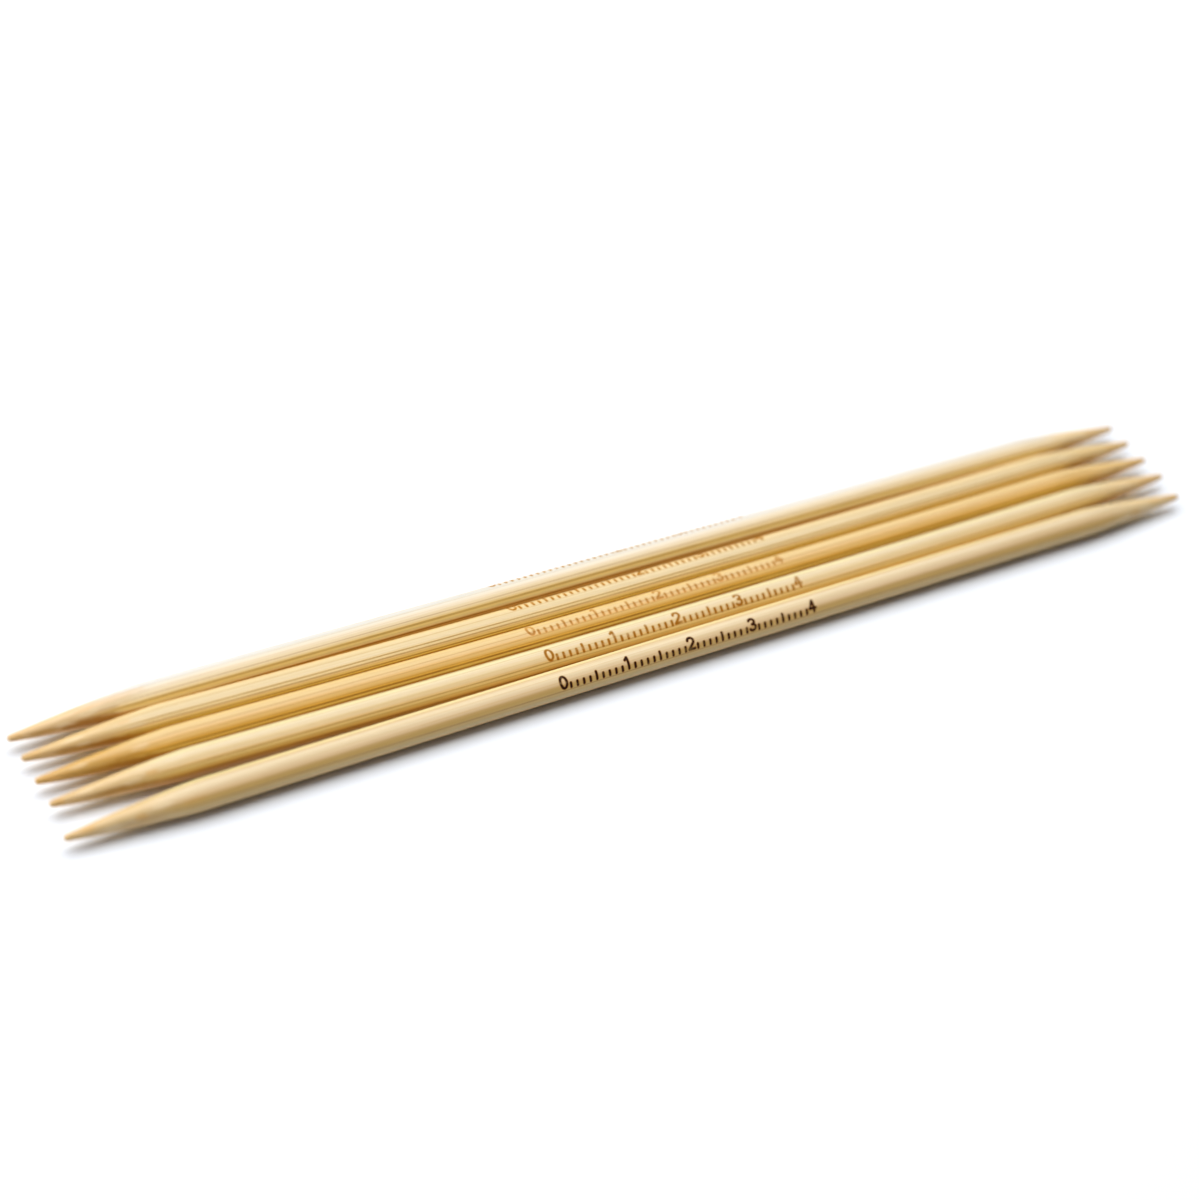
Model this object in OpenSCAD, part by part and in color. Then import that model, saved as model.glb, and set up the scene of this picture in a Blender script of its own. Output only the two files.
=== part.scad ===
// A set of five double pointed knitting needles, laid side by side.
// Each needle is one solid bamboo rod: a plain round shaft with the same
// long, gently rounded taper and blunt nose at both ends.
// +X runs along the needles, +Y goes from the front needle to the back one,
// +Z is up. The origin is under the middle of the row, on the table.

/* [Needle] */
// Diameter of the shaft, which is the needle's size (mm)
needle_diameter = 4.0; // [3:0.25:8]
// Overall length of a needle, tip to tip (mm)
needle_length = 177.8; // [120:0.1:250]
// Length of the taper at each end, nose included (mm)
taper_length = 18; // [10:0.5:30]
// Radius of the blunt nose at each tip (mm)
nose_radius = 0.48; // [0.2:0.05:0.8]
// How full the taper is: near 1 is a plain cone, 2 is bullet shaped
fullness = 1.38; // [1.1:0.05:2]

/* [Row] */
// Clear gap between needles that lie against each other (mm)
row_gap = 0.04; // [0.02:0.01:1]
// Extra gap in front of the back needle (mm)
back_gap = 0.18; // [0:0.01:2]
// Angle that the front needle lies at to the others (degrees)
front_yaw = 0.41; // [0:0.01:1]
// Lengthwise offset of needle 1, the front one (mm)
shift_1 = -0.4; // [-3:0.05:3]
// Lengthwise offset of needle 2 (mm)
shift_2 = 0.25; // [-3:0.05:3]
// Lengthwise offset of needle 3, the middle one (mm)
shift_3 = 0.15; // [-3:0.05:3]
// Lengthwise offset of needle 4 (mm)
shift_4 = 0.15; // [-3:0.05:3]
// Lengthwise offset of needle 5, the back one (mm)
shift_5 = -0.15; // [-3:0.05:3]

/* [Quality] */
// Straight steps along each taper's profile
taper_steps = 20; // [8:1:32]
// Steps around the nose
nose_steps = 6; // [3:1:10]

/* [Hidden] */
$fn = 64;

shaft_radius = needle_diameter / 2;
half_length = needle_length / 2;
// half the straight length between the tapers
half_shaft = half_length - taper_length;

// slope where the nose meets the taper, so that one runs smoothly into the other
join_angle = atan((shaft_radius - nose_radius) * fullness / (taper_length - nose_radius));
// that join's distance from the tip, and the radius there
join_distance = nose_radius * (1 - sin(join_angle));
join_radius = nose_radius * cos(join_angle);

// how closely the taper's steps crowd towards the nose; 1 spaces them evenly
step_crowding = 1.15;

// radius of the taper at a fraction of the way from the join to the shaft
function taper_radius(fraction) =
    join_radius + (shaft_radius - join_radius) * (1 - pow(1 - fraction, fullness));

// outline of one end, from the tip to the shaft: [radius, distance from the tip]
nose_points = [
    for (i = [0 : nose_steps])
        let (angle = (90 - join_angle) * i / nose_steps)
        nose_radius * [sin(angle), 1 - cos(angle)]
];
taper_points = [
    for (i = [1 : taper_steps])
        let (fraction = pow(i / taper_steps, step_crowding))
        [taper_radius(fraction), join_distance + (taper_length - join_distance) * fraction]
];
end_points = concat(nose_points, taper_points);

// half outline of a needle, tip to tip: [radius, place along its length]
outline = concat(
    [for (point = end_points) [point[0], point[1] - half_length]],
    [for (i = [len(end_points) - 1 : -1 : 0])
        [end_points[i][0], half_length - end_points[i][1]]]
);

// lanes: where each needle's axis crosses the middle of the row, from needle 2
pitch = needle_diameter + row_gap;
lane_2 = 0;
lane_3 = pitch;
lane_4 = 2 * pitch;
lane_5 = 3 * pitch + back_gap;

// half the width in Y of the yawed front needle's shaft
yawed_radius = shaft_radius / cos(front_yaw);
// the front needle just clears needle 2 at the +X end of its shaft
lane_1 = lane_2 - (shaft_radius + row_gap) - yawed_radius
    - tan(front_yaw) * (half_shaft + shift_1);

// moves that centre the row on the origin
row_back = lane_5 + shaft_radius;
row_front = lane_1 - tan(front_yaw) * half_shaft - yawed_radius;
row_y = -(row_back + row_front) / 2;
shifts = [shift_1, shift_2, shift_3, shift_4, shift_5];
row_x = -(max(shifts) + min(shifts)) / 2;

// one whole needle along X, its axis through the origin
module double_point() {
    rotate([0, 90, 0])
        rotate_extrude()
            polygon(outline);
}

// a needle at rest on the table, in its lane
module laid(lane, shift, yaw = 0) {
    translate([row_x, row_y + lane, shaft_radius])
        rotate([0, 0, yaw])
            translate([shift, 0, 0])
                double_point();
}

module needle_1() { color([0.90, 0.83, 0.63]) laid(lane_1, shift_1, front_yaw); }
module needle_2() { color([0.93, 0.83, 0.60]) laid(lane_2, shift_2); }
module needle_3() { color([0.92, 0.76, 0.46]) laid(lane_3, shift_3); }
module needle_4() { color([0.92, 0.82, 0.57]) laid(lane_4, shift_4); }
module needle_5() { color([0.93, 0.83, 0.58]) laid(lane_5, shift_5); }

needle_1();
needle_2();
needle_3();
needle_4();
needle_5();
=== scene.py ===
"""Looks for a row of five bamboo double pointed needles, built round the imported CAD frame."""

import math

import bpy
import numpy as np
from mathutils import Matrix, Vector


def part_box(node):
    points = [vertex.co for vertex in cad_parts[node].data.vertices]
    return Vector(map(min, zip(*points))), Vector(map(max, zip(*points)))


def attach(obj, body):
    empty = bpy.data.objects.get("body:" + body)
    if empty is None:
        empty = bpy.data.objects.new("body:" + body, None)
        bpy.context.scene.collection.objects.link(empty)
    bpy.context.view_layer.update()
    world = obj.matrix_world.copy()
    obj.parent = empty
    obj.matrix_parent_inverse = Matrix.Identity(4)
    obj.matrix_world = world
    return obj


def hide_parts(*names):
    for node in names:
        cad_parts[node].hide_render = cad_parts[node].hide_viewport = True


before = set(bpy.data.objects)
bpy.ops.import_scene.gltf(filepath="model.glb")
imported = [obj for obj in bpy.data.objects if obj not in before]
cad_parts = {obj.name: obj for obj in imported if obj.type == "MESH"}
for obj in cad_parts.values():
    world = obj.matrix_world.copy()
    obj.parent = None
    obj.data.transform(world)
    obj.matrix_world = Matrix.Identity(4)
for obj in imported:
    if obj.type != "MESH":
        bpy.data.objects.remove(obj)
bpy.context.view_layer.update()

MM = 0.001

# ---------------------------------------------------------------- sizes (mm)
NEEDLE_L = 177.8
HALF = NEEDLE_L / 2
R = 2.0
TAPER = 18.0
NOSE = 0.48
FULL = 1.38
BOW = 1.07  # sideways bow of the three middle needles over their length

NOSE_A = math.atan((R - NOSE) * FULL / (TAPER - NOSE))
NOSE_T = NOSE * (1 - math.sin(NOSE_A))
NOSE_E = NOSE * math.cos(NOSE_A)

# How each needle lies, what its bamboo is like, and its burned scale. Angles go round
# a needle in degrees: 0 faces the front, 90 is on top, 180 faces the back.
# lane: its axis across the row, from one end to the other; bow: its sag to the front;
# lean: how far its two points end off the middle line.
# mark: angle of the scale, and how hard it was burned.
# tone: colour round the stick by angle, partly the wood's own colour and partly painted light and shade. Painted
# crevice shade makes it darker at the lower edge of needles 2 to 5 (about 12 to 14 degrees) and at the back (about 131)
# where neighbours touch. A painted lit side makes the back of the top lighter (needle_1 at 123, needle_2 at 115).
# Needle_1's hidden underside (-60) is dark, painted shade for the floor under it.
# lines: darker lines as (angle, half width in degrees, strength). Most are fibre lines, but the widest and strongest,
# at the lower edge of needles 2 to 5 (10 to 20 degrees) where the needle in front meets them, are painted crevice
# shade.
# heart: colour of the wood that the left and the right taper uncover.
# cuts: soft patches where a taper crosses the grain, as
#       (distance from the middle, angle, half length, half width in degrees, tint, strength).
ROW = {
    "needle_1": dict(
        lane=(-8.69, -7.42), bow=0.0, lean=(0.65, 1.05), seed=11, mark=(52, 1.0),
        tone_and_shade=[(-60, (0.55, 0.32, 0.11)), (-25, (0.809, 0.575, 0.276)), (-8, (0.622, 0.456, 0.219)), (6, (0.64, 0.446, 0.173)),
              (22, (0.747, 0.479, 0.113)), (42, (0.684, 0.428, 0.159)), (52, (0.81, 0.587, 0.338)), (68, (0.704, 0.526, 0.3)),
              (90, (0.709, 0.596, 0.379)), (105, (0.621, 0.42, 0.237)), (123, (0.93, 0.853, 0.425)), (134, (0.582, 0.396, 0.173))],
        lines=[(19, 2.8, 0.70), (5, 1.6, 0.16), (40, 1.3, 0.14), (56, 2.0, 0.08), (80, 1.8, 0.20), (107, 2.4, 0.32)],
        heart=[(0.70, 0.50, 0.25), (0.76, 0.57, 0.31)],
        cuts=[(-86.0, 66, 1.0, 26, "amber", 0.5), (-79.3, 33, 1.0, 22, "amber", 0.55), (-76.5, 60, 1.6, 14, "pale", 0.4),
              (-83.2, 20, 1.5, 30, "pale", 0.25), (-72.6, 40, 1.8, 10, "amber", 0.35), (-80.0, 8, 4.0, 20, "gold", 0.4),
              (79.3, 22, 1.3, 24, "amber", 0.45), (87.3, 40, 0.8, 40, "amber", 0.5), (83.5, 60, 1.4, 30, "amber", 0.2),
              (80.5, 8, 3.0, 18, "gold", 0.3)],
    ),
    "needle_2": dict(
        lane=(-2.87, -2.87), bow=BOW, lean=(1.08, 0.95), seed=23, mark=(71, 0.62),
        tone_and_shade=[(-10, (0.48, 0.27, 0.07)), (12, (0.732, 0.401, 0.08)), (24, (0.871, 0.612, 0.15)), (36, (0.93, 0.715, 0.298)),
              (46, (0.902, 0.61, 0.208)), (54, (0.837, 0.618, 0.351)), (70, (0.765, 0.587, 0.299)), (90, (0.608, 0.474, 0.315)),
              (115, (0.93, 0.853, 0.485)), (131, (0.299, 0.176, 0.0413)), (160, (0.72, 0.5, 0.23))],
        lines=[(10, 3.4, 0.90), (30, 2.0, 0.30), (43, 3.0, 0.60), (66, 1.4, 0.14), (99, 2.4, 0.30), (82, 0.9, 0.10)],
        heart=[(0.73, 0.52, 0.26), (0.76, 0.55, 0.28)],
        cuts=[(-87.8, 50, 0.9, 60, "amber", 0.6), (-80.8, 10, 6.5, 20, "gold", 0.75), (-81.4, 24, 2.2, 16, "brown", 0.35),
              (-76.2, 58, 1.0, 12, "amber", 0.45), (-84.5, 70, 1.4, 22, "pale", 0.4), (-78.5, 45, 1.3, 14, "pale", 0.35),
              (78.5, 12, 4.4, 20, "gold", 0.85), (71.0, 10, 8.0, 18, "gold", 0.8), (85.0, 45, 2.2, 30, "amber", 0.4),
              (80.5, 60, 1.6, 20, "pale", 0.35)],
    ),
    "needle_3": dict(
        lane=(1.16, 1.16), bow=BOW, lean=(1.08, 1.0), seed=37, mark=(95, 0.36),
        tone_and_shade=[(-10, (0.6, 0.38, 0.12)), (14, (0.456, 0.202, 0.021)), (28, (0.93, 0.765, 0.171)), (42, (0.93, 0.458, 0.0268)),
              (54, (0.793, 0.527, 0.191)), (64, (0.861, 0.531, 0.173)), (76, (0.682, 0.445, 0.187)), (86, (0.631, 0.432, 0.128)),
              (104, (0.71, 0.514, 0.275)), (116, (0.855, 0.641, 0.264)), (131, (0.445, 0.256, 0.0589)), (165, (0.74, 0.49, 0.17))],
        lines=[(20, 4.4, 1.0), (35.5, 3.9, 1.0), (45.5, 2.0, 0.34), (64, 2.2, 0.42), (83, 2.8, 0.58), (104, 1.2, 0.2)],
        heart=[(0.63, 0.37, 0.095), (0.76, 0.52, 0.22)],
        cuts=[(-87.4, 40, 1.4, 50, "amber", 0.8), (-79.4, 10, 8.4, 24, "gold", 0.92), (-77.0, 14, 5.0, 14, "brown", 0.45), (-83.5, 70, 1.4, 20, "pale", 0.3),
              (-77.2, 44, 2.4, 9, "brown", 0.4), (-75.5, 66, 1.4, 12, "pale", 0.28), (-79.5, 62, 1.5, 12, "amber", 0.3),
              (79.2, 12, 5.0, 20, "gold", 0.9), (77.5, 18, 2.4, 14, "brown", 0.35), (86.2, 30, 1.3, 30, "amber", 0.4), (82.5, 28, 1.2, 14, "gold", 0.4)],
    ),
    "needle_4": dict(
        lane=(5.19, 5.19), bow=BOW, lean=(1.0, 1.02), seed=41, mark=(123, 0.55),
        tone_and_shade=[(-10, (0.72, 0.5, 0.22)), (14, (0.64, 0.363, 0.0605)), (27, (0.93, 0.788, 0.142)), (39, (0.93, 0.612, 0.242)),
              (52, (0.93, 0.756, 0.409)), (60, (0.93, 0.74, 0.365)), (68, (0.77, 0.605, 0.377)), (82, (0.635, 0.486, 0.238)),
              (96, (0.651, 0.507, 0.27)), (114, (0.845, 0.664, 0.37)), (131, (0.556, 0.331, 0.0615)), (165, (0.73, 0.51, 0.22))],
        lines=[(18.5, 3.2, 1.0), (29, 3.0, 0.80), (46, 2.8, 0.62), (58.5, 3.0, 0.75), (89.5, 2.4, 0.36), (38, 0.9, 0.14), (75, 0.8, 0.08)],
        heart=[(0.72, 0.50, 0.23), (0.77, 0.57, 0.28)],
        cuts=[(-84.0, 26, 1.8, 18, "brown", 0.5), (-87.6, 60, 1.0, 40, "amber", 0.4), (-81.2, 34, 1.0, 14, "pale", 0.4),
              (-79.5, 8, 8.0, 20, "gold", 0.8), (-78.0, 12, 3.0, 16, "brown", 0.7), (-75.8, 78, 1.0, 10, "amber", 0.3),
              (-82.5, 78, 1.5, 16, "pale", 0.3), (-74.3, 50, 1.5, 10, "pale", 0.4),
              (78.2, 12, 4.2, 22, "gold", 0.9), (77.0, 20, 1.8, 14, "brown", 0.4), (75.0, 62, 1.4, 14, "pale", 0.4),
              (84.8, 60, 1.8, 30, "amber", 0.3)],
    ),
    "needle_5": dict(
        lane=(8.79, 8.79), bow=0.0, lean=(0.85, 0.7), seed=59, mark=(137, 0.5),
        tone_and_shade=[(-10, (0.72, 0.49, 0.19)), (12, (0.693, 0.351, 0.036)), (26, (0.93, 0.84, 0.47)), (40, (0.93, 0.65, 0.113)),
              (51, (0.93, 0.755, 0.483)), (64, (0.869, 0.7, 0.433)), (80, (0.761, 0.632, 0.46)), (100, (0.66, 0.632, 0.54)),
              (114, (0.724, 0.709, 0.727)), (135, (0.741, 0.58, 0.353)), (165, (0.722, 0.53, 0.268))],
        lines=[(14, 4.2, 1.0), (40, 4.4, 0.56), (58.5, 2.2, 0.42), (96, 2.0, 0.18), (27, 1.0, 0.14), (76, 1.2, 0.14)],
        heart=[(0.75, 0.53, 0.28), (0.79, 0.60, 0.34)],
        cuts=[(-78.6, 10, 4.6, 20, "brown", 0.85), (-78.0, 30, 3.0, 9, "brown", 0.55), (-84.7, 22, 2.0, 24, "gold", 0.55),
              (-82.0, 38, 1.0, 14, "pale", 0.5), (-76.4, 52, 2.0, 5, "brown", 0.35), (-78.6, 60, 1.6, 14, "pale", 0.4),
              (-73.8, 74, 3.6, 13, "gold", 0.22), (-75.0, 92, 5.0, 18, "amber", 0.3),
              (-87.8, 40, 0.8, 60, "amber", 0.3), (-79.0, 80, 1.6, 10, "amber", 0.25),
              (79.4, 12, 3.4, 20, "gold", 0.85), (75.2, 50, 1.2, 14, "pale", 0.45), (84.0, 50, 1.8, 30, "amber", 0.25)],
    ),
}
TINTS = {"amber": (0.72, 0.38, 0.085), "gold": (0.50, 0.25, 0.018), "brown": (0.42, 0.175, 0.010), "pale": (0.90, 0.73, 0.46)}

# ------------------------------------------------------------- burned scale
# A plain measuring scale: a number at every centimetre and a tick at every millimetre
# between them, longer at 5. u runs along the needle, v round it, both in mm.
MARK_X0 = -20.0
MARK_LEN = 40.0
STROKE = 0.146  # half width of a burned stroke
CAP = 1.72  # height of a number


def arc(cx, cy, rx, ry, a0, a1, n=14):
    a = np.radians(np.linspace(a0, a1, n))
    return [(cx + rx * math.cos(t), cy + ry * math.sin(t)) for t in a]


def digit(d):
    """Strokes of one plain number, 0.62 wide and 1 high, as lists of points."""
    if d == 0:
        return [arc(0.31, 0.5, 0.27, 0.46, 0, 360, 28)]
    if d == 1:
        return [[(0.14, 0.76), (0.36, 0.96), (0.36, 0.04)]]
    if d == 2:
        return [arc(0.31, 0.69, 0.26, 0.27, 165, -38, 14) + [(0.05, 0.04), (0.59, 0.04)]]
    if d == 3:
        return [arc(0.29, 0.73, 0.25, 0.23, 150, -88, 14), arc(0.29, 0.28, 0.28, 0.24, 88, -150, 14)]
    return [[(0.45, 0.04), (0.45, 0.96), (0.04, 0.33), (0.61, 0.33)]]


def mark_segments():
    seg = []
    foot = -CAP / 2
    for i in range(40):
        if i % 10:
            seg.append((i, foot, i, foot + (1.02 if i % 5 == 0 else 0.56)))
    for d in range(5):
        x0 = 10.0 * d - (0.36 if d == 1 else 0.31) * CAP
        for line in digit(d):
            pts = [(x0 + p[0] * CAP, foot + p[1] * CAP) for p in line]
            seg += [(*a, *b) for a, b in zip(pts, pts[1:])]
    return np.array(seg, float)


SEGS = mark_segments()


def mark_distance(u, v):
    """Distance in mm from each point (u, v) to the nearest stroke's middle line."""
    out = np.full(u.shape, 9.0)
    for x0, y0, x1, y1 in SEGS:
        near = (u > min(x0, x1) - 0.6) & (u < max(x0, x1) + 0.6)
        if not near.any():
            continue
        uu, vv = u[near], v[near]
        dx, dy = x1 - x0, y1 - y0
        t = np.clip(((uu - x0) * dx + (vv - y0) * dy) / (dx * dx + dy * dy), 0, 1)
        d = np.hypot(uu - (x0 + t * dx), vv - (y0 + t * dy))
        out[near] = np.minimum(out[near], d)
    return out


# ------------------------------------------------------------- needle meshes
def profile(t):
    """Radius in mm at distance t from the nearer tip."""
    t = np.asarray(t, float)
    nose = np.sqrt(np.clip(NOSE**2 - (NOSE - np.clip(t, 0, NOSE)) ** 2, 0, None))
    k = np.clip((t - NOSE_T) / (TAPER - NOSE_T), 0, 1)
    taper = NOSE_E + (R - NOSE_E) * (1 - (1 - k) ** FULL)
    return np.where(t < NOSE_T, nose, taper)


def ring_places():
    """Places of the rings along a needle, close where the shape or the scale needs it."""
    nose = NOSE * (1 - np.cos(np.radians(np.linspace(12, 90 - math.degrees(NOSE_A), 8))))
    taper = NOSE_T + (TAPER - NOSE_T) * np.linspace(0, 1, 70)[1:] ** 1.25
    end = np.concatenate([nose, taper])
    left = -HALF + end
    right = (HALF - end)[::-1]
    m0, m1 = MARK_X0 - 0.9, MARK_X0 + MARK_LEN + 0.9
    step = 0.08
    mark = np.linspace(m0, m1, int(round((m1 - m0) / step)) + 1)
    a = np.arange(left[-1] + 0.8, m0 - 0.4, 0.8)
    b = np.arange(m1 + 0.8, right[0] - 0.4, 0.8)
    return np.concatenate([left, a, mark, b, right])


def smooth_noise(rng, n, count, amp):
    """A sum of a few slow waves over n in turns, used for slight unevenness."""
    out = np.zeros_like(n)
    for k in range(1, count + 1):
        out += amp / k * np.sin(2 * math.pi * (k * n + rng.random()))
    return out


def build_needle(name, spec):
    rng = np.random.default_rng(spec["seed"])
    mark_deg, _ = spec["mark"]
    # columns round the needle: close together across the scale
    half_sector = math.radians(34)
    fine = 34
    a0 = math.radians(mark_deg)
    th = np.concatenate([
        a0 + np.linspace(-half_sector, half_sector, fine + 1),
        a0 + np.linspace(half_sector, 2 * math.pi - half_sector, 71)[1:-1],
    ])
    cols = len(th)
    xs = ring_places()
    rows = len(xs)
    X, T = np.meshgrid(xs, th, indexing="ij")
    base = profile(HALF - np.abs(X))

    # a turned and sanded stick is very slightly uneven, always inwards
    ripple = np.zeros_like(X)
    for k, amp in ((2, 0.006), (3, 0.005), (4, 0.006), (5, 0.005), (7, 0.004), (9, 0.003), (13, 0.002)):
        p0, wob = rng.random(), rng.uniform(-0.25, 0.25)
        size = amp * (0.7 + 0.3 * np.sin(2 * math.pi * (X / rng.uniform(60, 140) + rng.random())))
        ripple += size * np.sin(k * T + 2 * math.pi * (p0 + wob * X / NEEDLE_L))
    ripple -= ripple.max()
    ripple += smooth_noise(rng, X / 90.0, 3, 0.004) - 0.008
    # shaped by hand at the ends: each taper is a little flat-sided in its own way
    for side in (-1, 1):
        w = np.clip((TAPER + 1 - (HALF - side * X)) / TAPER, 0, 1)
        w = np.sin(np.pi * np.clip(w, 0, 1)) ** 1.5
        ripple -= w * 0.03 * (1 + np.sin(3 * T + 6.28 * rng.random()))
        ripple -= w * 0.02 * (1 + np.sin(2 * T + 6.28 * rng.random()))
    rad = base + ripple * np.clip(base / R, 0, 1)

    # the burned scale: sunk a little, with a soft shoulder
    u = X - MARK_X0
    dth = (T - a0 + math.pi) % (2 * math.pi) - math.pi
    v = dth * R
    inside = (np.abs(v) < 1.25) & (u > -1.0) & (u < MARK_LEN + 1.0)
    dist = np.full(X.shape, 9.0)
    dist[inside] = mark_distance(u[inside], v[inside])
    burn = np.clip(1 - (dist - STROKE * 0.55) / (STROKE * 1.25), 0, 1)
    rad = rad - 0.028 * np.clip(burn * 1.3 - 0.3, 0, 1)

    la, lb = spec["lane"]
    yc = la + (X + HALF) / NEEDLE_L * (lb - la) - spec["bow"] * (1 - (X / HALF) ** 2)
    ly, lz = -rad * np.cos(T), rad * np.sin(T)
    shift = SHIFT[name] - 0.16
    # the points are dressed by hand and end a little off the middle line
    lean_l, lean_r = spec["lean"]

    def lean(x):
        t = HALF - np.abs(x)
        return np.where(x < 0, lean_l, lean_r) / (1 + (t / 9.5) ** 2.2)

    off = lean(X)
    zc = np.maximum(R - 0.16 * off, np.minimum(base, R))
    co = np.stack([X + shift, yc - 0.34 * off + ly, zc + lz], -1).reshape(-1, 3)
    local = np.stack([X, ly, lz], -1).reshape(-1, 3)

    tips = []
    for s in (-1, 1):
        k = float(lean(np.array(s * HALF)))
        tips.append((s * HALF + shift, (la if s < 0 else lb) - 0.34 * k, R - 0.16 * k))
    co = np.vstack([co, tips]) * MM
    local = np.vstack([local, [(-HALF, 0, 0), (HALF, 0, 0)]])
    burn_v = np.concatenate([burn.ravel(), [0, 0]])
    n = rows * cols

    i = np.arange(rows - 1)[:, None] * cols
    j = np.arange(cols)[None, :]
    j2 = (j + 1) % cols
    quads = np.stack([i + j, i + cols + j, i + cols + j2, i + j2], -1).reshape(-1, 4)
    c0 = np.arange(cols)
    c1 = (c0 + 1) % cols
    cap_l = np.stack([np.full(cols, n), c0, c1], -1)
    cap_r = np.stack([np.full(cols, n + 1), (rows - 1) * cols + c1, (rows - 1) * cols + c0], -1)

    me = bpy.data.meshes.new(name + "_bamboo")
    loops = np.concatenate([quads.ravel(), cap_l.ravel(), cap_r.ravel()]).astype(np.int32)
    sizes = np.concatenate([np.full(len(quads), 4), np.full(2 * cols, 3)]).astype(np.int32)
    starts = np.concatenate([[0], np.cumsum(sizes)[:-1]]).astype(np.int32)
    me.vertices.add(len(co))
    me.vertices.foreach_set("co", co.astype(np.float32).ravel())
    me.loops.add(len(loops))
    me.loops.foreach_set("vertex_index", loops)
    me.polygons.add(len(sizes))
    me.polygons.foreach_set("loop_start", starts)
    me.polygons.foreach_set("use_smooth", np.ones(len(sizes), bool))
    me.update(calc_edges=True)

    at = me.attributes.new("grain", "FLOAT_VECTOR", "POINT")
    at.data.foreach_set("vector", local.astype(np.float32).ravel())
    at = me.attributes.new("burn", "FLOAT", "POINT")
    at.data.foreach_set("value", burn_v.astype(np.float32))

    # unwrapped in four long strips, laid one above the other
    cuts = [-HALF - 1, -55.5, -22.0, 33.5, HALF + 1]
    place = np.concatenate([np.repeat(xs, cols), [-HALF, HALF]])
    ang = np.concatenate([np.tile(np.arange(cols), rows), [0, 0]])
    arc_v = np.concatenate([[0], np.cumsum(np.diff(np.concatenate([th, [th[0] + 2 * math.pi]])))]) / (2 * math.pi)
    face_of_loop = np.repeat(np.arange(len(sizes)), sizes)
    mid = np.zeros(len(sizes))
    np.add.at(mid, face_of_loop, place[loops])
    mid /= sizes
    strip = np.searchsorted(cuts, mid) - 1
    span = 57.5
    ls = strip[face_of_loop]
    # a strip's first ring is the one just before its cut
    uu = (place[loops] - np.array(cuts)[ls]) / span * 0.97 + 0.015
    col = ang[loops]
    vv = arc_v[col]
    # the face that closes the ring runs on to the far edge of the strip
    first = np.zeros(len(loops), bool)
    closing = np.zeros(len(sizes), bool)
    closing[: len(quads)] = np.tile(np.arange(cols) == cols - 1, rows - 1)
    closing[len(quads):] = np.tile(np.arange(cols) == cols - 1, 2)
    vv = np.where(closing[face_of_loop] & (col == 0), 1.0, vv)
    tip = loops >= n
    if tip.any():
        which = np.where(tip)[0]
        tri = face_of_loop[which] - len(quads)
        cidx = tri % cols
        vv[which] = (arc_v[cidx] + arc_v[cidx + 1]) / 2
    vv = (ls + 0.03 + vv * 0.94 * (2 * math.pi * R / span) / 0.2244 * 0.97) / 4
    uv = me.uv_layers.new(name="OFBake")
    uv.data.foreach_set("uv", np.stack([np.clip(uu, 0, 1), np.clip(vv, 0, 1)], -1).astype(np.float32).ravel())

    me.validate()
    ob = bpy.data.objects.new(name + "_bamboo", me)
    bpy.context.scene.collection.objects.link(ob)
    return ob


# lengthwise place of each needle, from its CAD node
SHIFT = {}
for nm in ROW:
    lo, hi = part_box(nm)
    SHIFT[nm] = (lo.x + hi.x) / 2 / MM


# ---------------------------------------------------------------- materials
class Tree:
    """Short helpers for building a node tree."""

    def __init__(self, mat):
        self.nt = mat.node_tree
        self.nt.nodes.clear()

    def add(self, kind, **values):
        n = self.nt.nodes.new(kind)
        for k, val in values.items():
            setattr(n, k, val)
        return n

    def plug(self, socket, value):
        if isinstance(value, bpy.types.NodeSocket):
            self.nt.links.new(value, socket)
        elif value is not None:
            socket.default_value = value

    def math(self, op, a, b=None, c=None, clamp=False):
        n = self.add("ShaderNodeMath", operation=op, use_clamp=clamp)
        for s, val in zip(n.inputs, (a, b, c)):
            self.plug(s, val)
        return n.outputs[0]

    def vec(self, op, a, b=None):
        n = self.add("ShaderNodeVectorMath", operation=op)
        for s, val in zip(n.inputs, (a, b)):
            self.plug(s, val)
        return n.outputs[0]

    def step(self, value, lo, hi, out_lo=0.0, out_hi=1.0):
        n = self.add("ShaderNodeMapRange", interpolation_type="SMOOTHSTEP")
        for s, val in zip(n.inputs, (value, lo, hi, out_lo, out_hi)):
            self.plug(s, val)
        return n.outputs[0]

    def noise(self, vector, scale=1.0, detail=2.0, rough=0.5, dims="3D", w=None):
        n = self.add("ShaderNodeTexNoise", noise_dimensions=dims)
        self.plug(n.inputs["Vector"], vector)
        n.inputs["Scale"].default_value = scale
        n.inputs["Detail"].default_value = detail
        n.inputs["Roughness"].default_value = rough
        return n.outputs["Fac"] if "Fac" in n.outputs else n.outputs[0]

    def mix(self, fac, a, b, mode="MIX"):
        n = self.add("ShaderNodeMix", data_type="RGBA", blend_type=mode)
        self.plug(n.inputs[0], fac)
        self.plug(n.inputs[6], a)
        self.plug(n.inputs[7], b)
        return n.outputs[2]


def rgb(c):
    return (c[0], c[1], c[2], 1.0)


def ring_colour_and_shade(t, angle, stops):
    """Colour by angle round the stick, closed smoothly at the back: the wood's own colour with painted light and shade
    in it.
    """
    n = t.add("ShaderNodeValToRGB")
    n.color_ramp.interpolation = "B_SPLINE"
    t.plug(n.inputs[0], t.math("MULTIPLY_ADD", angle, 1 / (2 * math.pi), 0.5))
    lo, hi = stops[0][1], stops[-1][1]
    back = tuple((p + q) / 2 for p, q in zip(lo, hi))
    full = [(-180, back), (-120, tuple(c * 0.97 for c in lo))] + list(stops) + [(180, back)]
    el = n.color_ramp.elements
    el[0].position, el[0].color = 0.0, rgb(full[0][1])
    el[1].position, el[1].color = 1.0, rgb(full[-1][1])
    for deg, c in full[1:-1]:
        el.new(deg / 360 + 0.5).color = rgb(c)
    return n.outputs[0]


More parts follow.
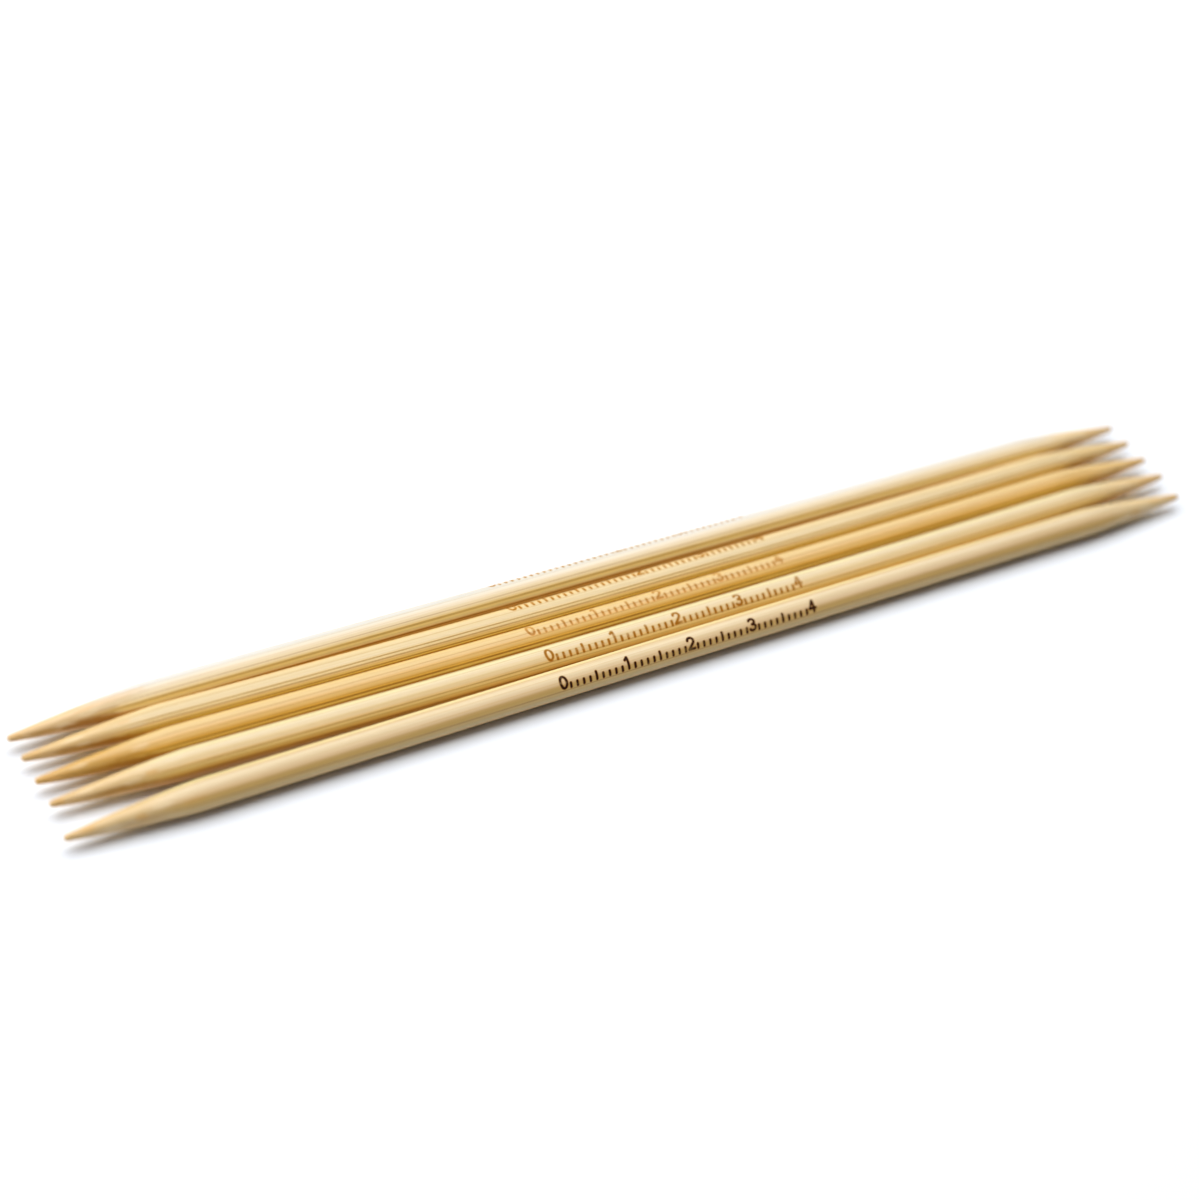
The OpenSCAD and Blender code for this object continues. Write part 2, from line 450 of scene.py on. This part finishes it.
def bamboo(name, spec):
    mat = bpy.data.materials.new(name)
    mat.use_nodes = True
    t = Tree(mat)
    rng = np.random.default_rng(spec["seed"] + 1000)
    grain = t.add("ShaderNodeAttribute", attribute_name="grain").outputs["Vector"]
    burn = t.add("ShaderNodeAttribute", attribute_name="burn").outputs["Fac"]

    sep = t.add("ShaderNodeSeparateXYZ")
    t.plug(sep.inputs[0], grain)
    gx, gy, gz = sep.outputs

    def comb(x, y, z):
        c = t.add("ShaderNodeCombineXYZ")
        for s, val in zip(c.inputs, (x, y, z)):
            t.plug(s, val)
        return c.outputs[0]

    # the fibres don't run quite parallel to the stick, and wander a little
    run_y, run_z = rng.uniform(-0.0006, 0.0006, 2)
    wander = t.noise(comb(t.math("MULTIPLY", gx, 0.018), float(rng.uniform(0, 50)), 3.3), 1.0, 1.0)
    wander = t.math("MULTIPLY", t.math("SUBTRACT", wander, 0.5), 0.09)
    wy = t.math("ADD", gy, t.math("MULTIPLY_ADD", gx, float(run_y), wander))
    wz = t.math("ADD", gz, t.math("MULTIPLY_ADD", gx, float(run_z), t.math("MULTIPLY", wander, -0.7)))
    off = rng.uniform(-40, 40, 3)

    def wood(sx, syz, k=0.0):
        """Place in the wood, stretched along the grain."""
        return comb(
            t.math("MULTIPLY_ADD", gx, sx, float(off[0] + k)),
            t.math("MULTIPLY_ADD", wy, syz, float(off[1] + k)),
            t.math("MULTIPLY_ADD", wz, syz, float(off[2] - k)),
        )

    radius = t.vec("LENGTH", comb(0.0, gy, gz)).node.outputs["Value"]
    outer = t.step(radius, 1.25, 1.93)
    angle = t.math("ARCTAN2", wz, t.math("MULTIPLY", wy, -1.0))

    # the colour round the stick, wood tone with painted crevice shade and a painted lit side, opening on to plainer
    # wood at the tapers
    heart = t.mix(t.step(gx, -10.0, 10.0), rgb(spec["heart"][0]), rgb(spec["heart"][1]))
    ground_and_shade = t.mix(outer, heart, ring_colour_and_shade(t, angle, spec["tone_and_shade"]))
    bands = t.step(t.noise(wood(0.010, 0.8), 1.0, 2.0, 0.5), 0.30, 0.70)
    streak = t.step(t.noise(wood(0.026, 4.4, 5.0), 1.0, 3.0, 0.6), 0.32, 0.70)
    fine = t.noise(wood(0.10, 13.0, 9.0), 1.0, 2.0, 0.6)
    cloud = t.noise(wood(0.06, 0.45, 14.0), 1.0, 3.0, 0.55)
    ground_and_shade = t.mix(t.math("MULTIPLY", t.math("SUBTRACT", 1.0, bands), 0.8), ground_and_shade,
                   t.mix(1.0, ground_and_shade, rgb((1.045, 1.06, 1.10)), "MULTIPLY"))
    ground_and_shade = t.mix(t.math("MULTIPLY", streak, 0.85), ground_and_shade,
                   t.mix(1.0, ground_and_shade, rgb((0.955, 0.915, 0.80)), "MULTIPLY"))

    # patches where a taper crosses the grain
    ragged = t.noise(wood(0.55, 2.2, 21.0), 1.0, 3.0, 0.6)
    ragged = t.math("MULTIPLY_ADD", ragged, 2.0, -1.0)
    for x, deg, half_l, half_w, tint, power in spec["cuts"]:
        dx = t.math("MULTIPLY", t.math("SUBTRACT", gx, float(x)), 1.0 / half_l)
        da = t.math("MULTIPLY", t.math("SUBTRACT", angle, math.radians(deg)), 1.0 / math.radians(half_w))
        d2 = t.math("ADD", t.math("MULTIPLY", dx, dx), t.math("MULTIPLY_ADD", da, da, ragged))
        ground_and_shade = t.mix(t.step(d2, 0.30, 1.20, float(power), 0.0), ground_and_shade, rgb(TINTS[tint]))

    # vascular bundles: brown fibres along the wood, broken into long dashes, which
    # come out as pointed marks where a taper cuts through them
    vor = t.add("ShaderNodeTexVoronoi", feature="F1", voronoi_dimensions="3D")
    t.plug(vor.inputs["Vector"], wood(0.0045, 2.1, 2.0))
    vor.inputs["Scale"].default_value = 1.0
    vor.inputs["Randomness"].default_value = 0.9
    core = t.step(vor.outputs["Distance"], 0.07, 0.24, 1.0, 0.0)
    pick = t.add("ShaderNodeSeparateColor")
    t.plug(pick.inputs[0], vor.outputs["Color"])
    strong = t.step(pick.outputs[0], 0.3, 1.0, 0.08, 1.0)
    dash = t.step(t.noise(wood(0.055, 1.6, 31.0), 1.0, 2.0, 0.6), 0.40, 0.58, 0.15, 1.0)
    bundles = t.math("MULTIPLY", t.math("MULTIPLY", core, strong), dash)

    vor2 = t.add("ShaderNodeTexVoronoi", feature="F1", voronoi_dimensions="3D")
    t.plug(vor2.inputs["Vector"], wood(0.016, 5.2, 7.0))
    vor2.inputs["Scale"].default_value = 1.0
    thin = t.step(vor2.outputs["Distance"], 0.06, 0.26, 1.0, 0.0)
    thin = t.math("MULTIPLY", thin, t.step(streak, 0.2, 0.9, 0.2, 1.0))

    # long single lines, each at its own angle round the stick: fibre lines, and painted crevice shade at the lower edge
    # of needles 2 to 5
    drift = t.noise(comb(t.math("MULTIPLY", gx, 0.05), 7.7, float(rng.uniform(0, 20))), 1.0, 2.0)
    bend = t.math("ADD", angle, t.math("MULTIPLY", t.math("SUBTRACT", drift, 0.5), 0.035))
    fade = t.noise(comb(t.math("MULTIPLY", gx, 0.09), float(rng.uniform(0, 20)), 1.1), 1.0, 2.0)
    fade = t.step(fade, 0.25, 0.55, 0.7, 1.0)
    lines = None
    extra = [(float(d), 0.9, float(p)) for d, p in zip(rng.uniform(150, 320, 7), rng.uniform(0.15, 0.7, 7))]
    for deg, half, strength in spec["lines"] + extra:
        if deg > 180:
            deg -= 360
        d = t.math("ABSOLUTE", t.math("SUBTRACT", bend, math.radians(deg)))
        m = t.step(d, math.radians(half * 0.3), math.radians(half * 1.35), float(strength), 0.0)
        lines = m if lines is None else t.math("MAXIMUM", lines, m)
    lines = t.math("MULTIPLY", t.math("MULTIPLY", lines, fade), outer)

    brown = rgb((0.44, 0.185, 0.014))
    tan = rgb((0.56, 0.32, 0.10))
    inner = t.math("SUBTRACT", 1.0, outer)
    colour = t.mix(t.math("MULTIPLY", bundles, t.math("MULTIPLY_ADD", inner, 0.36, 0.34)), ground_and_shade, tan)
    colour = t.mix(t.math("MULTIPLY", thin, t.math("MULTIPLY_ADD", inner, 0.30, 0.16)), colour, tan)
    # brown lines: fibre lines, and painted crevice shade where the needle in front meets
    colour = t.mix(lines, colour, brown)
    # fine light and dark of single fibres, and slow change along the stick
    shade = t.math("MULTIPLY_ADD", fine, 0.18, 0.935)
    shade = t.math("MULTIPLY", shade, t.math("MULTIPLY_ADD", cloud, 0.09, 0.965))
    grey = t.add("ShaderNodeCombineColor")
    for s in grey.inputs[:3]:
        t.plug(s, shade)
    colour = t.mix(1.0, colour, grey.outputs[0], "MULTIPLY")

    # the points are handled most, and show the ends of the fibres: a warmer tone
    tipness = t.step(t.math("ABSOLUTE", gx), HALF - 7.0, HALF - 0.3, 0.0, 0.45)
    colour = t.mix(tipness, colour, rgb((0.70, 0.42, 0.155)))

    # the burned scale, from a toasted edge to a dark core
    power = spec["mark"][1]
    ramp = t.add("ShaderNodeValToRGB")
    t.plug(ramp.inputs[0], burn)
    el = ramp.color_ramp.elements
    el[0].position, el[0].color = 0.0, (1, 1, 1, 1)
    el[1].position, el[1].color = 1.0, (0.028, 0.009, 0.002, 1)
    e = el.new(0.28)
    e.color = (0.72, 0.48, 0.22, 1)
    e = el.new(0.62)
    e.color = (0.13, 0.050, 0.014, 1)
    burned = t.mix(1.0, colour, ramp.outputs[0], "MULTIPLY")
    if power < 1.0:
        light = t.add("ShaderNodeValToRGB")
        t.plug(light.inputs[0], burn)
        el = light.color_ramp.elements
        el[0].position, el[0].color = 0.0, (1, 1, 1, 1)
        el[1].position, el[1].color = 1.0, (0.54, 0.27, 0.035, 1)
        e = el.new(0.35)
        e.color = (0.86, 0.64, 0.30, 1)
        pale_burn = t.mix(1.0, colour, light.outputs[0], "MULTIPLY")
        burned = t.mix(float(max(0.0, power * 1.6 - 0.8)), pale_burn, burned)
        burned = t.mix(min(1.0, power * 2), colour, burned)
    patchy = t.noise(wood(0.8, 1.6, 3.0), 1.0, 2.0)
    keep = t.step(patchy, 0.25, 0.5, 0.80 if power == 1.0 else 0.55, 1.0)
    has = t.step(burn, 0.02, 0.12)
    colour = t.mix(t.math("MULTIPLY", has, keep), colour, burned)

    bsdf = t.add("ShaderNodeBsdfPrincipled")
    t.plug(bsdf.inputs["Base Color"], colour)
    rough = t.math("MULTIPLY_ADD", fine, 0.10, 0.35)
    rough = t.math("MULTIPLY_ADD", bundles, 0.10, rough)
    rough = t.math("MULTIPLY_ADD", t.step(burn, 0.3, 0.9), 0.30, rough, clamp=True)
    t.plug(bsdf.inputs["Roughness"], rough)
    bsdf.inputs["IOR"].default_value = 1.5
    t.plug(bsdf.inputs["Specular IOR Level"], t.step(burn, 0.2, 0.8, 0.5, 0.12))
    t.plug(bsdf.inputs["Coat Weight"], t.step(burn, 0.2, 0.7, 0.06, 0.0))
    bsdf.inputs["Coat Roughness"].default_value = 0.20

    # fibres stand a hair proud of the softer ground between them
    relief = t.math("MULTIPLY_ADD", fine, 0.5, t.math("MULTIPLY", streak, 0.35))
    relief = t.math("MULTIPLY_ADD", bundles, 0.5, relief)
    relief = t.math("MULTIPLY_ADD", lines, -0.6, relief)
    bump = t.add("ShaderNodeBump")
    bump.inputs["Strength"].default_value = 0.35
    bump.inputs["Distance"].default_value = 0.00002
    t.plug(bump.inputs["Height"], relief)
    t.plug(bsdf.inputs["Normal"], bump.outputs[0])
    out = t.add("ShaderNodeOutputMaterial")
    t.plug(out.inputs[0], bsdf.outputs[0])
    return mat


for nm, spec in ROW.items():
    ob = build_needle(nm, spec)
    ob.data.materials.append(bamboo(nm + "_wood", spec))
    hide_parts(nm)
    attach(ob, nm)

# -------------------------------------------------------------- floor, light
mesh = bpy.data.meshes.new("floor")
S = 3.0
mesh.from_pydata([(-S, -S, 0), (S, -S, 0), (S, S, 0), (-S, S, 0)], [], [(0, 1, 2, 3)])
floor = bpy.data.objects.new("floor", mesh)
bpy.context.scene.collection.objects.link(floor)
fm = bpy.data.materials.new("floor_paper")
fm.use_nodes = True
b = fm.node_tree.nodes["Principled BSDF"]
b.inputs["Base Color"].default_value = (0.850, 0.884, 0.942, 1)
b.inputs["Roughness"].default_value = 0.75
b.inputs["Specular IOR Level"].default_value = 0.2
mesh.materials.append(fm)

# far from the needles, where the panel's light falls off, the floor keeps its pale tone
# for the camera, and so does what lies beyond its edge
FAR = (0.93, 0.95, 0.985, 1)
nt = fm.node_tree
where = nt.nodes.new("ShaderNodeNewGeometry")
reach = nt.nodes.new("ShaderNodeVectorMath")
reach.operation = "LENGTH"
nt.links.new(where.outputs["Position"], reach.inputs[0])
far = nt.nodes.new("ShaderNodeMapRange")
far.interpolation_type = "SMOOTHSTEP"
far.inputs["From Min"].default_value = 0.30
far.inputs["From Max"].default_value = 0.70
nt.links.new(reach.outputs["Value"], far.inputs["Value"])
path = nt.nodes.new("ShaderNodeLightPath")
both = nt.nodes.new("ShaderNodeMath")
both.operation = "MULTIPLY"
nt.links.new(far.outputs["Result"], both.inputs[0])
nt.links.new(path.outputs["Is Camera Ray"], both.inputs[1])
glow = nt.nodes.new("ShaderNodeEmission")
glow.inputs["Color"].default_value = FAR
blend = nt.nodes.new("ShaderNodeMixShader")
nt.links.new(both.outputs[0], blend.inputs[0])
nt.links.new(b.outputs[0], blend.inputs[1])
nt.links.new(glow.outputs[0], blend.inputs[2])
nt.links.new(blend.outputs[0], nt.nodes["Material Output"].inputs[0])


def area(name, place, aim, size, power, colour=(1, 1, 1), size_y=None):
    la = bpy.data.lights.new(name, "AREA")
    la.shape = "RECTANGLE"
    la.size = size
    la.size_y = size_y or size
    la.energy = power
    la.color = colour
    o = bpy.data.objects.new(name, la)
    o.location = place
    o.rotation_mode = "QUATERNION"
    o.rotation_quaternion = (Vector(aim) - Vector(place)).to_track_quat("-Z", "Y")
    bpy.context.scene.collection.objects.link(o)
    return o


# one big soft panel overhead, a little behind the row, and a small card off to the left;
# the pale floor fills from below
area("panel_over", (-0.07, 0.415, 1.03), (0, 0, 0), 2.3, 27.6, (1.0, 1.0, 0.995), 1.05)
area("card_left", (-0.75, -0.03, 0.34), (-0.05, 0, 0), 0.4, 1.1)

world = bpy.data.worlds.new("studio")
bpy.context.scene.world = world
world.use_nodes = True
bg = world.node_tree.nodes["Background"]
bg.inputs[0].default_value = (0.72, 0.80, 1.0, 1)
bg.inputs[1].default_value = 0.034
wt = world.node_tree
seen = wt.nodes.new("ShaderNodeBackground")
seen.inputs[0].default_value = FAR
path = wt.nodes.new("ShaderNodeLightPath")
blend = wt.nodes.new("ShaderNodeMixShader")
wt.links.new(path.outputs["Is Camera Ray"], blend.inputs[0])
wt.links.new(bg.outputs[0], blend.inputs[1])
wt.links.new(seen.outputs[0], blend.inputs[2])
wt.links.new(blend.outputs[0], wt.nodes["World Output"].inputs[0])

# -------------------------------------------------------------------- camera
SCENE = bpy.context.scene
AZ, EL, ROLL = (math.radians(a) for a in (40.579, 41.560, 13.611))
fwd = Vector((math.sin(AZ) * math.cos(EL), math.cos(AZ) * math.cos(EL), -math.sin(EL)))
right = Vector((math.cos(AZ), -math.sin(AZ), 0))
up = right.cross(fwd)
r2 = right * math.cos(ROLL) + up * math.sin(ROLL)
u2 = up * math.cos(ROLL) - right * math.sin(ROLL)
place = Vector((-192.57, -213.47, 255.48)) * MM
cam_data = bpy.data.cameras.new("camera")
cam_data.sensor_width = 36.0
cam_data.lens = 36.0 * 2846.7 / 1200.0
cam = bpy.data.objects.new("camera", cam_data)
SCENE.collection.objects.link(cam)
cam.rotation_mode = "QUATERNION"
cam.location = place
cam.rotation_quaternion = Matrix((r2, u2, -fwd)).transposed().to_quaternion()
cam_data.clip_start, cam_data.clip_end = 0.01, 20
SCENE.camera = cam

focus = bpy.data.objects.new("focus_point", None)
focus.location = (-0.0197, -0.004, 0.004)
SCENE.collection.objects.link(focus)
station = bpy.data.objects.new("camera_station", None)
station.location = place
SCENE.collection.objects.link(station)
cam_data.dof.use_dof = True
cam_data.dof.focus_object = focus
cam_data.dof.aperture_fstop = 11.4
# wide open only from the main viewpoint; stopped down from anywhere else.
# The driver's own curve maps the distance from there, in metres, to the f-stop.
curve = cam_data.dof.driver_add("aperture_fstop")
drv = curve.driver
drv.type = "SUM"
var = drv.variables.new()
var.name = "d"
var.type = "LOC_DIFF"
var.targets[0].id = cam
var.targets[1].id = station
for mod in list(curve.modifiers):
    curve.modifiers.remove(mod)
while len(curve.keyframe_points):
    curve.keyframe_points.remove(curve.keyframe_points[0])
for dist, fstop in ((0.0, 11.4), (0.02, 64.0)):
    curve.keyframe_points.insert(dist, fstop).interpolation = "CONSTANT"
curve.extrapolation = "CONSTANT"

SCENE.view_settings.view_transform = "Standard"
SCENE.view_settings.look = "None"
SCENE.view_settings.exposure = 0.0
SCENE.cycles.max_bounces = 10
SCENE.cycles.diffuse_bounces = 6
SCENE.cycles.glossy_bounces = 4
